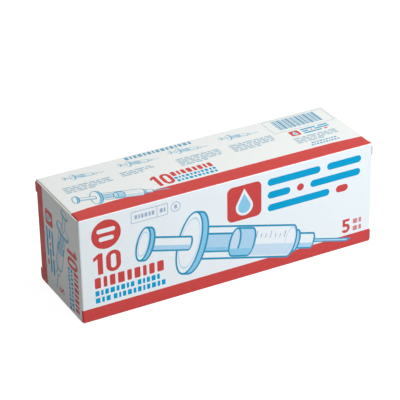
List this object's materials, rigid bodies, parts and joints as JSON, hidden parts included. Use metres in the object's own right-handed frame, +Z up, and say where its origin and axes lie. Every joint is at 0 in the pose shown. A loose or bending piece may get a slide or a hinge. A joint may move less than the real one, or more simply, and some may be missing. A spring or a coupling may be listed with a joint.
{
  "type": "printed carton of wrapped syringes",
  "caption": "Long printed boxboard carton with a slit-lock tuck lid at each end, filled with wrapped syringes.",
  "frame": {"origin": "middle of the underside of the closed carton", "axes": "+X along the carton's length, -Y out of the printed front panel, +Z up"},
  "size_m": [0.17, 0.052, 0.059],
  "materials": {
    "boxboard": "white coated folding boxboard, offset printed, satin varnish",
    "peel_pouch": "clear film heat-sealed to medical paper"
  },
  "bodies": {
    "carton": {"carton_body": "boxboard", "wrapped_syringe_01": "peel_pouch", "wrapped_syringe_02": "peel_pouch", "wrapped_syringe_03": "peel_pouch", "wrapped_syringe_04": "peel_pouch", "wrapped_syringe_05": "peel_pouch", "wrapped_syringe_06": "peel_pouch", "wrapped_syringe_07": "peel_pouch", "wrapped_syringe_08": "peel_pouch", "wrapped_syringe_09": "peel_pouch", "wrapped_syringe_10": "peel_pouch"},
    "left_lid": {"left_lid": "boxboard"},
    "right_lid": {"right_lid": "boxboard"}
  },
  "joints": [
    {"name": "left_lid_hinge", "type": "hinge", "parent": "carton", "child": "left_lid", "pos_m": [-0.08478, -0.02552, 0.0295], "axis": [0, 0, 1], "range_deg": [0, 150]},
    {"name": "right_lid_hinge", "type": "hinge", "parent": "carton", "child": "right_lid", "pos_m": [0.08478, 0.02552, 0.0295], "axis": [0, 0, 1], "range_deg": [0, 150]}
  ]
}
